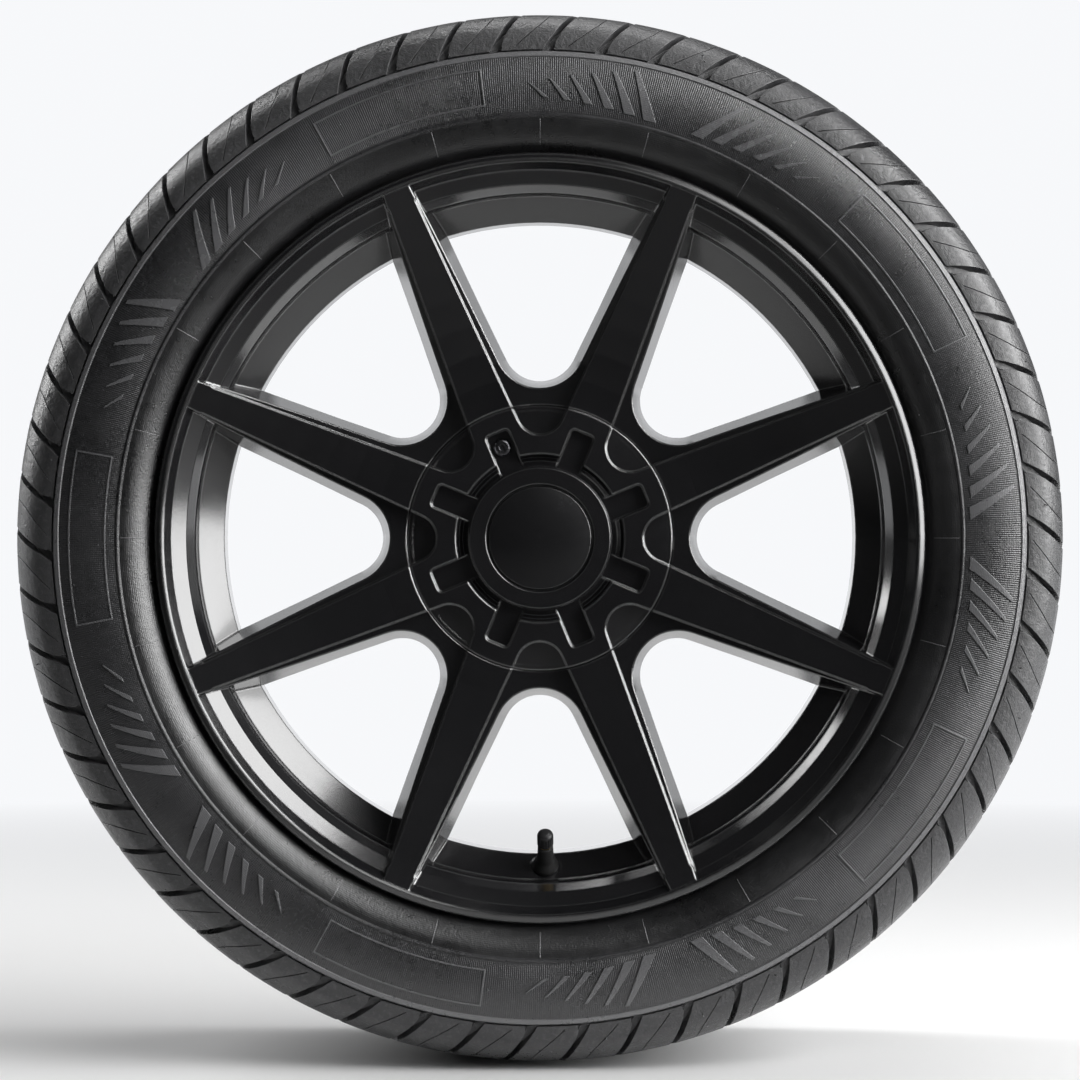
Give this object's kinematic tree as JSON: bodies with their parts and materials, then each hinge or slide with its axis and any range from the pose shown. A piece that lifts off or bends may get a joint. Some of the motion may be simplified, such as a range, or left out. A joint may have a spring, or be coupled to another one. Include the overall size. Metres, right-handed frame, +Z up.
{
  "type": "car wheel with high-performance tyre",
  "caption": "Low-profile road tyre on a dark alloy wheel with tapered spokes, a screwed centre cover with a clipped cap, and a snap-in valve with a dust cap.",
  "frame": {"origin": "centre of the wheel, on its spin axis and the rim's middle plane", "axes": "+Y along the spin axis towards the vehicle, -Y out of the wheel's street side, +Z up, +X to the right as seen from the street side"},
  "size_m": [0.6522, 0.243, 0.652],
  "materials": {
    "tyre_rubber": "moulded rubber, satin",
    "wheel_black": "cast, painted satin black",
    "cover_plastic": "satin black",
    "screw_steel": "blackened",
    "cap_plastic": "satin black",
    "dome_plastic": "soft gloss black",
    "spring_steel": "drawn wire",
    "valve_rubber": "matte",
    "valve_brass": "turned",
    "seal_rubber": "matte",
    "dust_cap_plastic": "matte black"
  },
  "bodies": {
    "wheel": {"tyre": "tyre_rubber", "alloy_wheel": "wheel_black", "centre_cover": "cover_plastic", "cover_screw": "screw_steel", "cap_body": "cap_plastic", "cap_dome": "dome_plastic", "cap_spring_ring": "spring_steel", "valve_rubber": "valve_rubber", "valve_tube": "valve_brass", "core_plug": "valve_brass", "core_barrel": "valve_brass", "core_gasket": "seal_rubber", "core_spring": "spring_steel"},
    "pin": {"core_pin": "valve_brass", "core_cup": "valve_brass", "core_cup_seal": "seal_rubber"},
    "cap_seal": {"dust_cap_seal": "seal_rubber"},
    "cap": {"dust_cap": "dust_cap_plastic"}
  },
  "joints": [
    {"name": "pin_press", "type": "slide", "parent": "wheel", "child": "pin", "axis": [0.0123, 0.7071, -0.707], "range_m": [0, 0.0015], "stiffness_N_per_m": 600, "deforming": ["core_spring"]},
    {"name": "cap_lift", "type": "slide", "parent": "wheel", "child": "cap_seal", "axis": [-0.0123, -0.7071, 0.707], "range_m": [0, 0.00794]},
    {"name": "cap_turn", "type": "hinge", "parent": "cap_seal", "child": "cap", "pos_m": [0.00356, -0.07096, -0.20399], "axis": [-0.0123, -0.7071, 0.707], "range_deg": [0, 3600]}
  ],
  "couplings": [
    {"joint": "cap_turn", "follows": "cap_lift", "rad_per_m": 7915.8}
  ]
}
